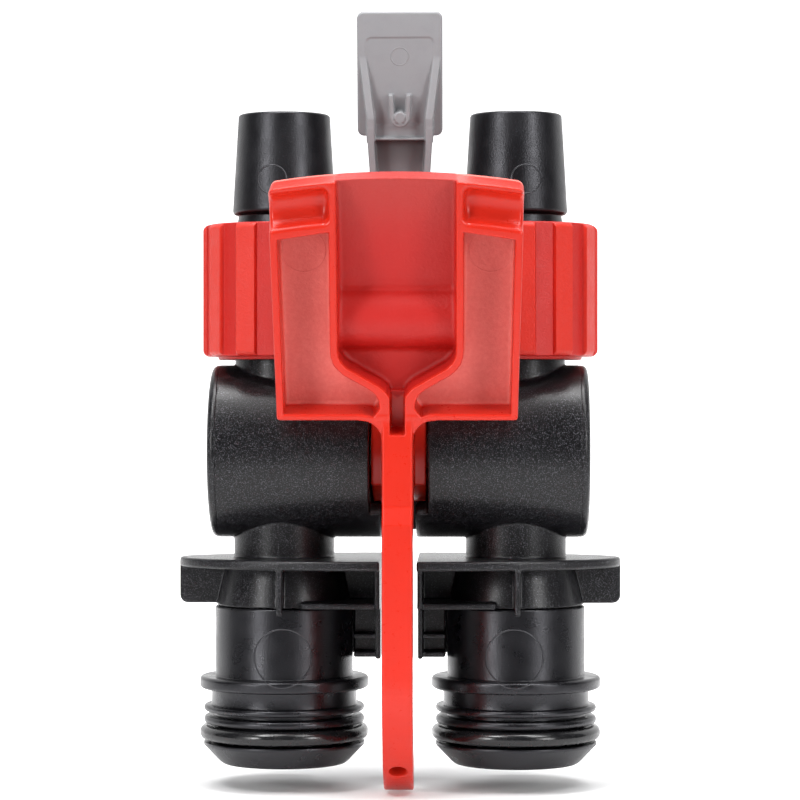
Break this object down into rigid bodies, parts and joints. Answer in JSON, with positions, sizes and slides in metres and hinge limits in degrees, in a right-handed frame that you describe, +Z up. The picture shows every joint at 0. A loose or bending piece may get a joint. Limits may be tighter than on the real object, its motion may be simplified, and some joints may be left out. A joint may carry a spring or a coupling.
{
  "type": "seacock valve",
  "caption": "Paired shut-off valve block: a cam lever turns rotary plugs between hose tails with ribbed lock nuts and O-ringed spigots that plug in below an oval flange.",
  "frame": {"origin": "midway between the two spigots, on the underside of the oval flange, where it seats on the pump head", "axes": "+Z up through the hose tails, +X from the left spigot to the right one, -Y towards the cam lever"},
  "size_m": [0.0836, 0.0517, 0.1463],
  "materials": {
    "black_plastic": "spark-eroded grain on the barrel, semi-gloss on the flange and spigots",
    "red_plastic": "glossy moulding with satin pocket floors",
    "grey_plastic": "satin",
    "white_plastic": "polished",
    "rubber": "smooth, greased",
    "steel": "drawn"
  },
  "bodies": {
    "body": {"valve_body": "black_plastic", "hose_tail_left": "black_plastic", "hose_tail_right": "black_plastic", "spigot_left": "black_plastic", "spigot_right": "black_plastic", "spigot_o_ring_left": "rubber", "spigot_o_ring_right": "rubber", "upper_seat_left": "rubber", "upper_seat_right": "rubber", "lower_seat_left": "rubber", "lower_seat_right": "rubber", "end_cap_left": "black_plastic", "end_cap_right": "black_plastic", "cap_seal_left": "rubber", "cap_seal_right": "rubber", "release_pin": "steel"},
    "cam_lever": {"cam_lever": "red_plastic", "valve_plug_left": "white_plastic", "valve_plug_right": "white_plastic", "stem_seal_left": "rubber", "stem_seal_right": "rubber"},
    "release_lever": {"release_lever": "grey_plastic", "release_spring": "steel"},
    "lock_nut_left": {"lock_nut_left": "red_plastic"},
    "lock_nut_right": {"lock_nut_right": "red_plastic"}
  },
  "joints": [
    {"name": "lever_turn", "type": "hinge", "parent": "body", "child": "cam_lever", "pos_m": [0, 0, 0.0218], "axis": [1, 0, 0], "range_deg": [0, 62]},
    {"name": "release_tilt", "type": "hinge", "parent": "body", "child": "release_lever", "pos_m": [0, 0.01, 0.0393], "axis": [1, 0, 0], "range_deg": [-18, 0], "stiffness_Nm_per_rad": 0.05, "springref_deg": 17.19},
    {"name": "nut_left_turn", "type": "hinge", "parent": "body", "child": "lock_nut_left", "pos_m": [-0.022, 0, 0.05], "axis": [0, 0, 1], "range_deg": [0, 540]},
    {"name": "nut_right_turn", "type": "hinge", "parent": "body", "child": "lock_nut_right", "pos_m": [0.022, 0, 0.05], "axis": [0, 0, 1], "range_deg": [0, 540]}
  ]
}
